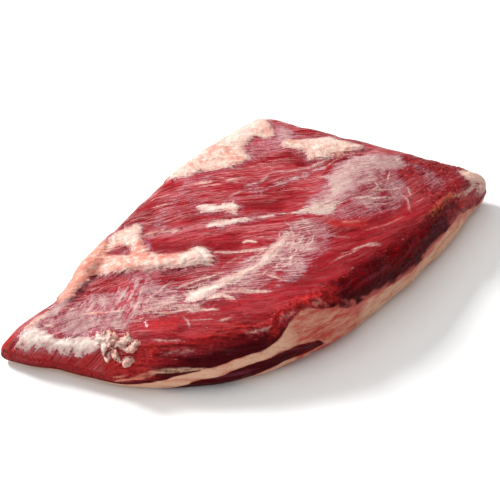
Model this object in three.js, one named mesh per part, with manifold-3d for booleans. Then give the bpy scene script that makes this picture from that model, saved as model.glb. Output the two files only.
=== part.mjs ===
// Raw beef brisket, boneless, lying on its fat side.
//
// The cut is one slab of two muscles. The flat muscle lies on top and makes all of the upper face. A layer of hard white
// fat runs under it: it is the seam between the two muscles and the cap under everything. The point muscle is a flat
// lens inside that layer, and shows as a second band of lean in the sides.
//
// The slab is made whole first: a closed outline gives its plan, a height map gives its upper face with the fat
// deposits and creases on it, and its rim is rounded over above and below. Smooth surfaces then cut the three layers.
//
// Units are millimetres. +Z is up, +X runs along the length towards the blunt end, the origin is under the middle.

import * as THREE from "three";
import { mergeVertices } from "three/addons/utils/BufferGeometryUtils.js";
import Module from "manifold-3d";

const wasm = await Module();
wasm.setup();

// ---- Driving dimensions ----

// The plan outline, anticlockwise from the thin tip: down the slanted thin end, along the near side to the sharp
// corner, up the slanted blunt end, and back along the far side.
const OUTLINE = [
  [-252, 84],
  [-246, 66],
  [-224, 30],
  [-191, -29],
  [-141, -79],
  [-83, -113],
  [-12, -132],
  [70, -135],
  [150, -129],
  [222, -115],
  [250, -107],
  [242, -89],
  [212, -11],
  [174, 74],
  [156, 117],
  [138, 133],
  [96, 135],
  [20, 133],
  [-60, 117],
  [-126, 101],
  [-184, 84],
  [-237, 88],
];
// Where along the outline the slab's four corners are, counted in its points.
const CORNER = { tip: 0, near: 4.6, sharp: 10, far: 15 };

// Heights of the upper face just inside its rounded rim, at equal steps from the thin end to the blunt end.
const NEAR_HEIGHTS = [50, 68, 78, 64, 56, 44];
const FAR_HEIGHTS = [24, 40, 50, 52, 50, 44];
const CROWN = 6; // how far the middle stands above a straight line from the near side to the far side
const RIM_HEIGHT_SHARE = 0.4; // where the side bulges furthest, as a share of the height there
const RIM_ABOVE = { near: 17, far: 24 }; // how far in the upper face's rounding reaches
const RIM_BELOW = 9; // how far in the underside lifts off the table

// Fat deposits and muscle edges that stand up from the upper face, and creases that sink into it. Each follows a path
// in plan; a negative height is a crease.
const RELIEF = {
  lowerArmOfTheForkedDeposit: { path: [[-146, 82], [-130, 60], [-117, 40], [-100, 20], [-80, 4]], width: 14, height: 5 },
  knobOfTheForkedDeposit: { path: [[-72, -2], [-62, -5]], width: 13, height: 6 },
  upperArmOfTheForkedDeposit: { path: [[-103, 98], [-96, 78], [-91, 54]], width: 13, height: 4 },
  edgeRoll: { path: [[-174, 66], [-150, 78], [-122, 88], [-104, 92]], width: 14, height: 4.5 },
  creaseUnderTheEdgeRoll: { path: [[-130, 64], [-152, 58], [-172, 48]], width: 13, height: -4 },
  tipStrip: { path: [[-236, 62], [-226, 46], [-211, 28], [-199, 2]], width: 12, height: 3 },
  crumbledLump: { path: [[-190, 0], [-184, -22]], width: 16, height: 6 },
  farEdgeBand: { path: [[10, 114], [50, 107], [90, 106], [124, 104]], width: 16, height: 4 },
  patchByTheFarCorner: { path: [[112, 67], [125, 46], [144, 26], [162, 12]], width: 13, height: 4 },
  silverSkinSwell: { path: [[150, -25], [112, -45], [80, -66]], width: 44, height: 4 },
  hollowBesideTheSwell: { path: [[150, 12], [112, 8], [80, 0]], width: 22, height: -2 },
  shoulderLump: { path: [[-62, -106], [-30, -118]], width: 15, height: 5 },
  shoulderRidge: { path: [[20, -112], [90, -108], [160, -106]], width: 16, height: 3 },
};
// Broad unevenness of the upper face: how high, and how long its waves are.
const WAVES = { height: 1.4, lengths: [83, 57, 39] };
// Unevenness of the sides in plan.
const SIDE_WAVES = { depth: 1.5, lengths: [71, 43, 27] };

// The layers. Each height is a station [distance along, height above the table at the near side]; the distance is
// measured square to the slanted ends, from the middle of the near side.
const SLANT = 0.55; // how far the layers shift towards the thin end for each millimetre across
const NEAR_EDGE = { y: -120, turnsAt: -90, slope: 0.8 }; // a straight edge that turns in towards the thin end
const THINNING = { share: 0.5, reach: 110 }; // heights fall to this share of those at the near edge, this far in
const FAT_TOP = [
  [-190, -9], [-140, -7], [-134, 4], [-130, 17], [-126, 25], [-115, 33], [-99, 39], [-84, 44], [-75, 48], [-66, 53],
  [-57, 60], [-50, 65], [-40, 67], [-30, 64], [-16, 57], [-5, 48], [6, 42], [28, 41], [45, 38], [60, 34], [85, 31],
  [105, 32], [133, 35], [160, 38], [183, 38], [201, 31], [237, 15], [320, 8],
];
const POINT_TOP = [
  [-190, -9], [-130, -5], [-125, 5], [-121, 14], [-113, 20], [-105, 24], [-95, 27], [-85, 31], [-72, 33], [-60, 32],
  [-47, 31], [-38, 27], [-33, 20], [-26, -9], [320, -9],
];
const POINT_BOTTOM = [
  [-190, -14], [-104, -8], [-94, 4], [-86, 12], [-78, 16], [-66, 17], [-54, 16], [-42, 15], [-33, 18], [-26, 12],
  [320, 12],
];

const GRID = { along: 66, across: 36 }; // cells of the slab's upper and lower faces
const RIM_STEPS = 300; // straight pieces that the outline's length is measured in
const RIM_CROWDING = 0.62; // 0 spaces the cells evenly, 1 crowds them at the rim
const CUTTER = { width: 320, depth: 60, across: 11 }; // the blocks that cut the layers, and their cells across
const GAP = 0.4; // between touching layers

// ---- Curves ----

const mix = (a, b, t) => a + (b - a) * t;
const clamp01 = (t) => Math.min(Math.max(t, 0), 1);

const outline = new THREE.CatmullRomCurve3(
  OUTLINE.map(([x, y]) => new THREE.Vector3(x, y, 0)),
  true,
  "centripetal",
);

// One side of the slab between two corners, run from the first to the second as share goes from 0 to 1.
function side(from, to) {
  const count = OUTLINE.length;
  return (share) => outline.getPoint((mix(from, to, share) / count + 1) % 1);
}
const thinEnd = side(CORNER.tip, CORNER.near);
const nearSide = side(CORNER.near, CORNER.sharp);
const bluntEnd = side(CORNER.far, CORNER.sharp);
const farSide = side(CORNER.tip + OUTLINE.length, CORNER.far);

// A smooth curve through heights at equal steps.
function heightCurve(heights) {
  const curve = new THREE.SplineCurve(heights.map((h, i) => new THREE.Vector2(i, h)));
  return (share) => curve.getPoint(share).y;
}
const nearHeight = heightCurve(NEAR_HEIGHTS);
const farHeight = heightCurve(FAR_HEIGHTS);

// Sines of several lengths, each running its own way across the plan.
function waves(p, lengths) {
  let sum = 0;
  lengths.forEach((length, i) => {
    const turn = 0.7 + 1.9 * i;
    sum += Math.sin((2 * Math.PI * (p.x * Math.cos(turn) + p.y * Math.sin(turn))) / length + 2.1 * i);
  });
  return sum / lengths.length;
}

// ---- Distances in plan ----

const rimPoints = outline.getPoints(RIM_STEPS);
const nearest = new THREE.Vector3();
const piece = new THREE.Line3();

function distanceToPath(points, p) {
  let best = Infinity;
  for (let i = 1; i < points.length; i++) {
    piece.set(points[i - 1], points[i]).closestPointToPoint(p, true, nearest);
    best = Math.min(best, nearest.distanceTo(p));
  }
  return best;
}

const reliefParts = Object.values(RELIEF).map(({ path, width, height }) => ({
  points: path.map(([x, y]) => new THREE.Vector3(x, y, 0)),
  width,
  height,
}));

function reliefHeight(p) {
  let sum = WAVES.height * waves(p, WAVES.lengths);
  for (const { points, width, height } of reliefParts) {
    const d = distanceToPath(points, p) / width;
    if (d < 1) sum += height * (1 - d * d) ** 2;
  }
  return sum;
}

// ---- The whole slab ----

// A point of the plan from its shares along the length and across the width, each 0 to 1. The four sides are blended.
function planPoint(along, across) {
  const corners = [
    [thinEnd(1), (1 - along) * (1 - across)],
    [nearSide(1), along * (1 - across)],
    [thinEnd(0), (1 - along) * across],
    [bluntEnd(0), along * across],
  ];
  const p = nearSide(along).multiplyScalar(1 - across).addScaledVector(farSide(along), across);
  p.addScaledVector(thinEnd(1 - across), 1 - along).addScaledVector(bluntEnd(1 - across), along);
  for (const [corner, weight] of corners) p.addScaledVector(corner, -weight);
  return p;
}

// The upper face before its rim is rounded.
function crownedHeight(along, across) {
  const bulge = 4 * across * (1 - across);
  return mix(nearHeight(along), farHeight(along), across) + CROWN * bulge;
}

// A quarter ellipse: 0 at the rim, 1 from reach inwards.
function roundOver(distance, reach) {
  const left = 1 - Math.min(distance / reach, 1);
  return Math.sqrt(1 - left * left);
}

const crowd = (t) => mix(t, (1 - Math.cos(Math.PI * t)) / 2, RIM_CROWDING);

function wholeSlab() {
  const { along: nx, across: ny } = GRID;
  const top = [];
  const bottom = [];
  for (let j = 0; j <= ny; j++) {
    for (let i = 0; i <= nx; i++) {
      const s = crowd(i / nx);
      const t = crowd(j / ny);
      const p = planPoint(s, t);
      const onRim = i === 0 || j === 0 || i === nx || j === ny;
      const inside = onRim ? 0 : distanceToPath(rimPoints, p);
      const plain = crownedHeight(s, t);
      const bulgeAt = plain * RIM_HEIGHT_SHARE;
      const upper = roundOver(inside, mix(RIM_ABOVE.near, RIM_ABOVE.far, t));
      const lower = roundOver(inside, RIM_BELOW);
      const z = mix(bulgeAt, plain + reliefHeight(p), upper);
      const inward = new THREE.Vector3(-p.x, -p.y, 0).normalize();
      p.addScaledVector(inward, SIDE_WAVES.depth * waves(p, SIDE_WAVES.lengths) * (1 - upper));
      top.push([p.x, p.y, z]);
      bottom.push([p.x, p.y, mix(bulgeAt, 0, lower)]);
    }
  }
  const at = (i, j) => j * (nx + 1) + i;
  const faces = [];
  const base = top.length;
  for (let j = 0; j < ny; j++) {
    for (let i = 0; i < nx; i++) {
      const [a, b, c, d] = [at(i, j), at(i + 1, j), at(i + 1, j + 1), at(i, j + 1)];
      const fromFirst = i < nx / 2 === j < ny / 2; // keeps each corner of the slab in one cell's two triangles
      const pair = fromFirst ? [[a, b, c], [a, c, d]] : [[a, b, d], [b, c, d]];
      for (const [p, q, r] of pair) {
        faces.push(p, q, r);
        faces.push(base + p, base + r, base + q);
      }
    }
  }
  const geometry = new THREE.BufferGeometry();
  geometry.setAttribute("position", new THREE.Float32BufferAttribute([...top, ...bottom].flat(), 3));
  geometry.setIndex(faces);
  return geometry;
}

// ---- Solids ----

function solidFrom(geometry) {
  const bare = geometry.clone();
  bare.deleteAttribute("normal");
  bare.deleteAttribute("uv");
  const merged = mergeVertices(bare, 1e-3);
  return new wasm.Manifold(
    new wasm.Mesh({
      numProp: 3,
      vertProperties: merged.attributes.position.array,
      triVerts: new Uint32Array(merged.index.array),
    }),
  );
}

function geometryFrom(solid) {
  const mesh = solid.getMesh();
  const geometry = new THREE.BufferGeometry();
  geometry.setAttribute("position", new THREE.BufferAttribute(mesh.vertProperties, 3));
  geometry.setIndex(new THREE.BufferAttribute(mesh.triVerts, 1));
  geometry.computeVertexNormals();
  return geometry;
}

// Everything below a layer's surface, raised or lowered by lift. The block has one row of cells between two stations.
function below(stations, lift) {
  const { width, depth, across } = CUTTER;
  const along = stations.length - 1;
  const block = new THREE.BoxGeometry(along, width, 1, along, across, 1);
  const corners = block.attributes.position;
  for (let i = 0; i < corners.count; i++) {
    const [station, height] = stations[Math.round(corners.getX(i) + along / 2)];
    const y = corners.getY(i);
    const x = station - SLANT * (y - NEAR_EDGE.y);
    const edge = NEAR_EDGE.y + NEAR_EDGE.slope * Math.max(NEAR_EDGE.turnsAt - x, 0);
    const inward = clamp01((y - edge) / THINNING.reach);
    const share = mix(1, THINNING.share, inward * (2 - inward));
    corners.setX(i, x);
    corners.setZ(i, corners.getZ(i) > 0 ? height * share + lift : -depth);
  }
  return solidFrom(block);
}

// ---- The layers ----

const slab = solidFrom(wholeSlab());
const room = GAP / 2;
const pointRoom = below(POINT_TOP, room).subtract(below(POINT_BOTTOM, -room));
const pointLens = below(POINT_TOP, -room).subtract(below(POINT_BOTTOM, room));

const layers = {
  flat_muscle: slab.subtract(below(FAT_TOP, room)),
  fat_layer: slab.intersect(below(FAT_TOP, -room)).subtract(pointRoom),
  point_muscle: slab.intersect(below(FAT_TOP, -room)).intersect(pointLens),
};
const looks = {
  flat_muscle: { color: 0x9c2a30, roughness: 0.45, metalness: 0 },
  fat_layer: { color: 0xe6cdb4, roughness: 0.5, metalness: 0 },
  point_muscle: { color: 0x7c1f28, roughness: 0.45, metalness: 0 },
};

const { min, max } = slab.boundingBox();
const middle = [-(min[0] + max[0]) / 2, -(min[1] + max[1]) / 2, -min[2]];

const brisket = new THREE.Group();
for (const [name, solid] of Object.entries(layers)) {
  const mesh = new THREE.Mesh(geometryFrom(solid.translate(middle)), new THREE.MeshStandardMaterial(looks[name]));
  mesh.name = name;
  brisket.add(mesh);
}

export default brisket;
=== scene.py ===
# %% [markdown]
# # Raw beef brisket
# A whole boneless brisket lies fat side down. It is a slab of two muscles with a layer of hard fat
# between and under them. Its upper face is torn, not cut: fibres of lean run across it, patches of fat
# and silver skin are left on it, and everything is wet. The slab's form comes from the CAD solids. This
# script gives it a skin fine enough to carry that relief, cuts the skin into the same three layers, and
# paints them.

import math
import random

import bpy
import numpy as np
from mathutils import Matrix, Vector


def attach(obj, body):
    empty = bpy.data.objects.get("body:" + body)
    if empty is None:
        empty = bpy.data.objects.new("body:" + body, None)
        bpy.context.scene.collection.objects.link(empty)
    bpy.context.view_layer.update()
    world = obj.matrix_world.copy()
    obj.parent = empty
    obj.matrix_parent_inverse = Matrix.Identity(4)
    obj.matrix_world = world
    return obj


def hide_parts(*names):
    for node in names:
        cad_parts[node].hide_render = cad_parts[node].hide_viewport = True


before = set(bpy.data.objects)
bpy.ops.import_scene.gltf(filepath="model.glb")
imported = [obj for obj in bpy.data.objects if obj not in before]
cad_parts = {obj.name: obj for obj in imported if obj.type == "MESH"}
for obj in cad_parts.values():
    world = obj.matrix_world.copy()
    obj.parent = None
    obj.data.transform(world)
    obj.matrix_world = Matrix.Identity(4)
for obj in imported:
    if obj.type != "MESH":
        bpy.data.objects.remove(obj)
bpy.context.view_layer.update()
MM = 0.001

# %% [markdown]
# ## Camera
# The cut is seen from above its near left, so that the upper face and the layered near side both show. A
# long lens from 1.3 m keeps the far edge from shrinking.

# %% Camera
TARGET = Vector((0.002, -0.0007, 0.030))
AZIMUTH = math.radians(-45)
ELEVATION = math.radians(46)
CAMERA_DISTANCE = 1.3
LENS = 93


def direction(azimuth, elevation):
    """The direction from the object to something seen at that azimuth and elevation."""
    level = math.cos(elevation)
    return Vector((math.sin(azimuth) * level, -math.cos(azimuth) * level, math.sin(elevation)))


def aim(thing, at):
    """Turns a camera or a lamp to look at a place."""
    thing.rotation_euler = (at - thing.location).to_track_quat("-Z", "Y").to_euler()


bpy.ops.object.camera_add(location=TARGET + CAMERA_DISTANCE * direction(AZIMUTH, ELEVATION))
camera = bpy.context.object
camera.name = "camera"
camera.data.lens = LENS
aim(camera, TARGET)
bpy.context.scene.camera = camera
print("camera at", [round(v, 3) for v in camera.location])

# %% [markdown]
# ## Helpers for selecting and for modifiers
# An operator works on whatever is selected, so each helper starts by deselecting everything. A modifier
# is added and applied at once, as its button would.


# %% Selection and modifiers
def only(*pieces):
    """Selects these pieces and nothing else. With no pieces, nothing is selected."""
    if bpy.context.object and bpy.context.object.mode != "OBJECT":
        bpy.ops.object.mode_set(mode="OBJECT")
    bpy.ops.object.select_all(action="DESELECT")
    for piece in pieces:
        piece.select_set(True)
    bpy.context.view_layer.objects.active = pieces[0] if pieces else None


def modify(piece, kind, **settings):
    """Adds a modifier with these settings, and applies it."""
    only(piece)
    modifier = piece.modifiers.new(kind.lower(), kind)
    for name, value in settings.items():
        setattr(modifier, name, value)
    bpy.ops.object.modifier_apply(modifier=modifier.name)


def corners(piece):
    """The piece's vertex places and normals, in millimetres."""
    mesh = piece.data
    count = len(mesh.vertices)
    place = np.empty(count * 3)
    normal = np.empty(count * 3)
    mesh.vertices.foreach_get("co", place)
    mesh.vertices.foreach_get("normal", normal)
    return place.reshape(-1, 3) / MM, normal.reshape(-1, 3)


# %% [markdown]
# ## The skin
# The three CAD layers are copied, swollen by a hair so that they run into one another, joined, and
# remeshed with a fine voxel grid. That gives one closed skin over the whole cut, in even quads small
# enough for tears and fibres. Smoothing then takes away the CAD facets.

# %% The skin
LAYERS = ("flat_muscle", "fat_layer", "point_muscle")
SWELLING = 0.30 * MM
VOXEL = 1.41 * MM
SMOOTH_PASSES = 26
MERGED = 0.01 * MM  # corners closer than this are one

only(*[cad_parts[name] for name in LAYERS])
bpy.ops.object.duplicate()
bpy.ops.object.join()
skin = bpy.context.object
skin.name = "skin"
bpy.ops.object.mode_set(mode="EDIT")
bpy.ops.mesh.select_all(action="SELECT")
bpy.ops.mesh.remove_doubles(threshold=MERGED)
bpy.ops.object.mode_set(mode="OBJECT")
modify(skin, "DISPLACE", strength=SWELLING, mid_level=0.0)
modify(skin, "REMESH", mode="VOXEL", voxel_size=VOXEL, use_smooth_shade=True)
modify(skin, "DISPLACE", strength=-SWELLING, mid_level=0.0)
modify(skin, "SMOOTH", factor=0.5, iterations=SMOOTH_PASSES)
print("skin", len(skin.data.vertices), "vertices")

# %% [markdown]
# ## Noise
# Nothing on meat is straight or even. This noise is a grid of random heights with smooth curves between
# them. It is worked out from its seed alone, so each run gives the same meat. Read at x / 12 and y / 3 it
# has bumps 12 mm long and 3 mm wide, and that is what the divisors below say. Each use has a seed of its
# own, so that no two patterns match.


# %% Noise
WEAKER = 1.8  # each finer layer of noise is weaker by this
STRETCH = 1.6  # brings the sum of the layers to about -1 to 1


def lattice(ix, iy, seed):
    """A random height from 0 to 1 for each crossing of the grid."""
    n = (ix * 374761393 + iy * 668265263 + seed * 1442695041) & 0xFFFFFFFF
    n = ((n ^ (n >> 13)) * 1274126177) & 0xFFFFFFFF
    n = ((n ^ (n >> 15)) * 2246822519) & 0xFFFFFFFF
    return ((n ^ (n >> 16)) & 0xFFFFFF) / 0xFFFFFF


def noise(x, y, seed=0):
    """Smooth noise from 0 to 1, one bump for each unit."""
    ix = np.floor(x).astype(np.int64)
    iy = np.floor(y).astype(np.int64)
    fx = x - ix
    fy = y - iy
    fx = fx * fx * (3 - 2 * fx)
    fy = fy * fy * (3 - 2 * fy)
    low = lattice(ix, iy, seed) * (1 - fx) + lattice(ix + 1, iy, seed) * fx
    high = lattice(ix, iy + 1, seed) * (1 - fx) + lattice(ix + 1, iy + 1, seed) * fx
    return low * (1 - fy) + high * fy


def rough(x, y, seed=0, layers=3):
    """Noise with finer noise on it, from about -1 to 1."""
    total = 0
    weight = 0
    for k in range(layers):
        total = total + (noise(x * 2**k, y * 2**k, seed + 17 * k) * 2 - 1) / WEAKER**k
        weight += 1 / WEAKER**k
    return total / weight * STRETCH


def ramp(value, low, high):
    """0 below low, 1 above high, smooth between."""
    t = np.clip((value - low) / (high - low), 0, 1)
    return t * t * (3 - 2 * t)


# %% [markdown]
# ## Grain
# Muscle fibres give the meat its direction. They cross the upper face at a slant. On the near side they
# flatten towards the blunt end, where they follow the shoulder, and on the far side they flatten towards
# the thin end. Two numbers say where a point is: how far along the fibres, and how far across them.

# %% Grain
SLOPE = {"middle": 0.80, "change": 0.0012}
TURN = {"from": 20, "to": 125, "share": 0.55}
LIFT = {"from": -20, "to": 90, "share": 0.28}
WAVER = 1.8  # how far a fibre strays from its line
ALONG = (0.72, -0.69)  # the way the fibres run in the middle


def grain(x, y):
    bend = np.clip(x, 0, None) * ramp(-y, TURN["from"], TURN["to"]) * TURN["share"]
    lift = np.clip(-x, 0, None) * ramp(y, LIFT["from"], LIFT["to"]) * LIFT["share"]
    across = y + SLOPE["middle"] * x - SLOPE["change"] * x * x / 2 - bend + lift
    across = across + WAVER * rough(x / 40, y / 40, 71, 2)
    along = ALONG[0] * x + ALONG[1] * y
    return along, across


COMB = math.radians(22)  # the angle at which the thin end's silver skin was combed


def comb_along(x, y):
    return x * math.cos(COMB) + y * math.sin(COMB)


def comb_across(x, y):
    return y * math.cos(COMB) - x * math.sin(COMB)


# %% [markdown]
# ## The map of the upper face
# Each deposit of fat is an outline in plan, in millimetres. It has a height, and a tint from cream (0) to
# peach (1), past 1 for a deep peach and below 0 for mauve. A strand is a path with a width, a share of
# cover and a tint. A film of silver skin is an outline with a strength. A drawn outline is used,
# because noise alone would put fat anywhere, and real deposits lie where the muscles met.

# %% Fat deposits
FAT = {
    "forked deposit": dict(rise=0.8, tint=0.55, edge=[
        (-158, 70), (-146, 60), (-129, 42), (-113, 22), (-100, 10), (-87, -3), (-71, -15), (-61, -18),
        (-55, -4), (-56, 10), (-66, 13), (-84, 25), (-93, 39), (-89, 52), (-84, 64), (-72, 77), (-74, 85),
        (-92, 88), (-115, 82), (-135, 78),
    ]),
    "knob of the fork": dict(rise=1.7, tint=0.0, edge=[
        (-88, 4), (-70, 15), (-57, 13), (-54, 2), (-58, -12), (-66, -18), (-82, -8),
    ]),
    "upper lobe of the fork": dict(rise=1.4, tint=0.1, edge=[
        (-122, 79), (-106, 88), (-84, 88), (-70, 77), (-82, 63), (-92, 56), (-93, 41), (-106, 46),
        (-104, 68),
    ]),
    "edge roll": dict(rise=1.9, tint=1.6, edge=[
        (-112, 80), (-130, 69), (-145, 62), (-163, 60), (-177, 56), (-190, 59), (-193, 67), (-176, 78),
        (-150, 90), (-120, 98), (-106, 92),
    ]),
    "tip strip": dict(rise=2.2, tint=0.0, edge=[
        (-243, 68), (-238, 56), (-228, 43), (-219, 28), (-211, 14), (-202, 2), (-194, -8), (-184, -13),
        (-182, -4), (-191, 3), (-197, 13), (-207, 26), (-216, 38), (-218, 50), (-222, 60), (-232, 67),
    ]),
    "rim lumps": dict(rise=1.0, tint=0.3, edge=[
        (-236, 70), (-222, 69), (-206, 67), (-194, 65), (-206, 60), (-218, 60), (-230, 63),
    ]),
    "far band": dict(rise=1.1, tint=0.3, edge=[
        (-4, 112), (9, 98), (26, 92), (37, 84), (48, 76), (76, 69), (78, 81), (89, 93), (105, 94),
        (113, 84), (124, 82), (132, 92), (138, 112), (128, 140), (60, 142), (-5, 136),
    ]),
    "patch by the far corner": dict(rise=1.4, tint=0.15, edge=[
        (109, 64), (126, 70), (140, 59), (156, 48), (167, 42), (172, 24), (182, 6), (172, 1), (152, 8),
        (130, 17), (115, 26), (120, 36), (116, 50),
    ]),
    "white patch": dict(rise=0.6, tint=-0.05, edge=[
        (-17, 56), (-6, 54), (2, 43), (18, 37), (12, 25), (1, 16), (-3, 33), (-12, 41), (-20, 47),
    ]),
    "white strip": dict(rise=0.6, tint=-0.05, edge=[
        (-35, 30), (-20, 27), (-4, 17), (9, 4), (28, -8), (6, 2), (-12, 13), (-27, 21),
    ]),
    "arm strip": dict(rise=0.5, tint=0.45, edge=[
        (-86, 65), (-72, 64), (-56, 51), (-45, 39), (-60, 48), (-76, 59),
    ]),
    "cream patch": dict(rise=0.5, tint=0.05, edge=[
        (-106, -21), (-92, -26), (-77, -38), (-78, -47), (-90, -42), (-106, -40), (-115, -30),
    ]),
    "corner fat": dict(rise=0.6, tint=0.9, edge=[
        (213, -104), (218, -90), (230, -94), (250, -103), (253, -113), (216, -112),
    ]),
}
# A tear in the upper lobe, through which the lean shows
HOLE = [(-119, 73), (-107, 71), (-103, 60), (-108, 56), (-116, 67)]
# Deposits that hang over the rim, down the side
OVER_THE_RIM = ("tip strip", "corner fat")

# %% Strands
STRANDS = [
    # The net
    ([(-78, -40), (-61, -45), (-37, -51)], 5.0, 0.8, 0.1),
    ([(-37, -51), (-12, -45), (20, -39)], 4.6, 0.6, 0.0),
    ([(-83, -48), (-66, -63), (-50, -82)], 3.0, 0.7, 0.1),
    ([(-99, -43), (-85, -50), (-79, -63)], 4.0, 0.85, 0.0),
    ([(-51, -54), (-41, -63), (-32, -85)], 2.2, 0.7, 0.2),
    ([(-29, -54), (-20, -56), (-8, -66), (6, -65)], 1.8, 0.7, 0.0),
    ([(-54, -7), (-36, -23), (-9, -42)], 2.6, 0.75, 0.2),
    ([(-23, -15), (-17, -18), (-13, -25)], 2.6, 0.9, 0.0),
    ([(-22, -67), (-15, -73), (0, -74)], 1.6, 0.7, 0.0),
    ([(-119, -39), (-107, -49), (-97, -60)], 2.6, 0.7, 0.0),
    ([(-138, -23), (-120, -34), (-106, -46)], 1.8, 0.8, 0.2),
    ([(-148, -8), (-134, -15), (-119, -22)], 2.2, 0.7, 0.2),
    ([(-131, -1), (-104, -3)], 2.0, 0.7, 0.4),
    ([(-100, -14), (-80, -26), (-61, -34)], 1.8, 0.7, 0.0),
    # The thin end
    ([(-189, 39), (-174, 22), (-156, 5)], 2.4, 0.75, 0.4),
    ([(-191, 56), (-183, 42)], 1.6, 0.7, 0.5),
    ([(-216, 56), (-209, 45)], 1.6, 0.8, 0.6),
    # The far part
    ([(75, 43), (88, 29), (106, 20), (125, 13)], 2.2, 0.6, -0.4),
    ([(39, 46), (60, 39), (73, 41)], 2.4, 0.55, -0.4),
    ([(16, 45), (34, 42)], 2.2, 0.5, -0.4),
    ([(8, 86), (19, 78), (25, 75)], 4.0, 0.7, 0.2),
    ([(8, 79), (27, 65)], 1.6, 0.7, 0.4),
    ([(30, 67), (49, 57)], 2.4, 0.75, 0.4),
    ([(113, 20), (141, 13)], 2.0, 0.6, 0.0),
    ([(-46, 90), (-34, 84), (-23, 77)], 1.3, 0.8, 0.3),
    ([(-82, 59), (-91, 43)], 2.4, 0.4, -0.8),
    # The swell and below it
    ([(29, -22), (27, -32), (18, -44), (8, -56)], 1.6, 0.6, 0.0),
    ([(118, 8), (136, 9), (152, 5), (166, -3), (177, -20)], 1.5, 0.7, 0.9),
    ([(96, -43), (112, -55), (128, -68), (147, -79)], 1.6, 0.7, 0.0),
    ([(92, -53), (110, -66), (129, -82)], 1.5, 0.6, 0.0),
    ([(139, -41), (134, -53), (133, -62)], 1.5, 0.7, 0.5),
    ([(143, -59), (138, -69)], 1.3, 0.6, 0.3),
    ([(146, -72), (142, -86), (127, -101)], 1.8, 0.5, 0.5),
    ([(106, 4), (112, -9)], 1.5, 0.9, 0.1),
    ([(125, -53), (140, -62), (158, -73)], 1.8, 0.75, 0.0),
    ([(122, -53), (135, -53)], 1.8, 0.8, 1.0),
    ([(140, -57), (152, -53)], 1.5, 0.7, 0.5),
    ([(149, -53), (162, -45)], 1.9, 0.85, 0.1),
    ([(98, -47), (118, -62), (141, -74)], 1.8, 0.65, 0.0),
    ([(158, -73), (149, -84)], 2.2, 0.6, 0.2),
    ([(117, -101), (95, -97), (74, -89)], 1.5, 0.5, 0.7),
    ([(54, -83), (44, -69), (30, -56)], 1.7, 0.55, -0.5),
    ([(66, -64), (72, -71), (80, -78)], 3.0, 0.3, 1.9),
    ([(30, -97), (47, -103), (60, -105), (67, -113)], 1.6, 0.45, -0.2),
    ([(42, -99), (52, -103)], 2.4, 0.45, -0.2),
    ([(50, -102), (64, -110)], 3.0, 0.5, -0.2),
    ([(55, -108), (66, -115)], 2.2, 0.4, -0.2),
    # The near part
    ([(-125, -39), (-125, -46), (-129, -53)], 1.6, 0.5, 0.1),
    ([(-125, -48), (-109, -63)], 1.4, 0.65, 0.1),
    ([(-107, -69), (-96, -75)], 1.5, 0.5, 0.1),
    ([(-160, -34), (-142, -55)], 1.4, 0.6, 0.4),
    ([(-161, -48), (-137, -69)], 1.2, 0.4, 0.5),
    ([(-96, -94), (-76, -105)], 1.6, 0.5, 0.8),
    ([(-66, -108), (-49, -112)], 1.8, 0.5, 0.8),
    ([(-54, -115), (-40, -118)], 2.8, 0.6, 1.5),
    ([(-34, -117), (-24, -122)], 2.4, 0.5, 1.6),
    ([(12, -98), (44, -105)], 1.2, 0.45, 0.3),
    # The far corner
    ([(226, -110), (206, -113), (180, -114)], 2.4, 0.8, 0.7),
]

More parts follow.
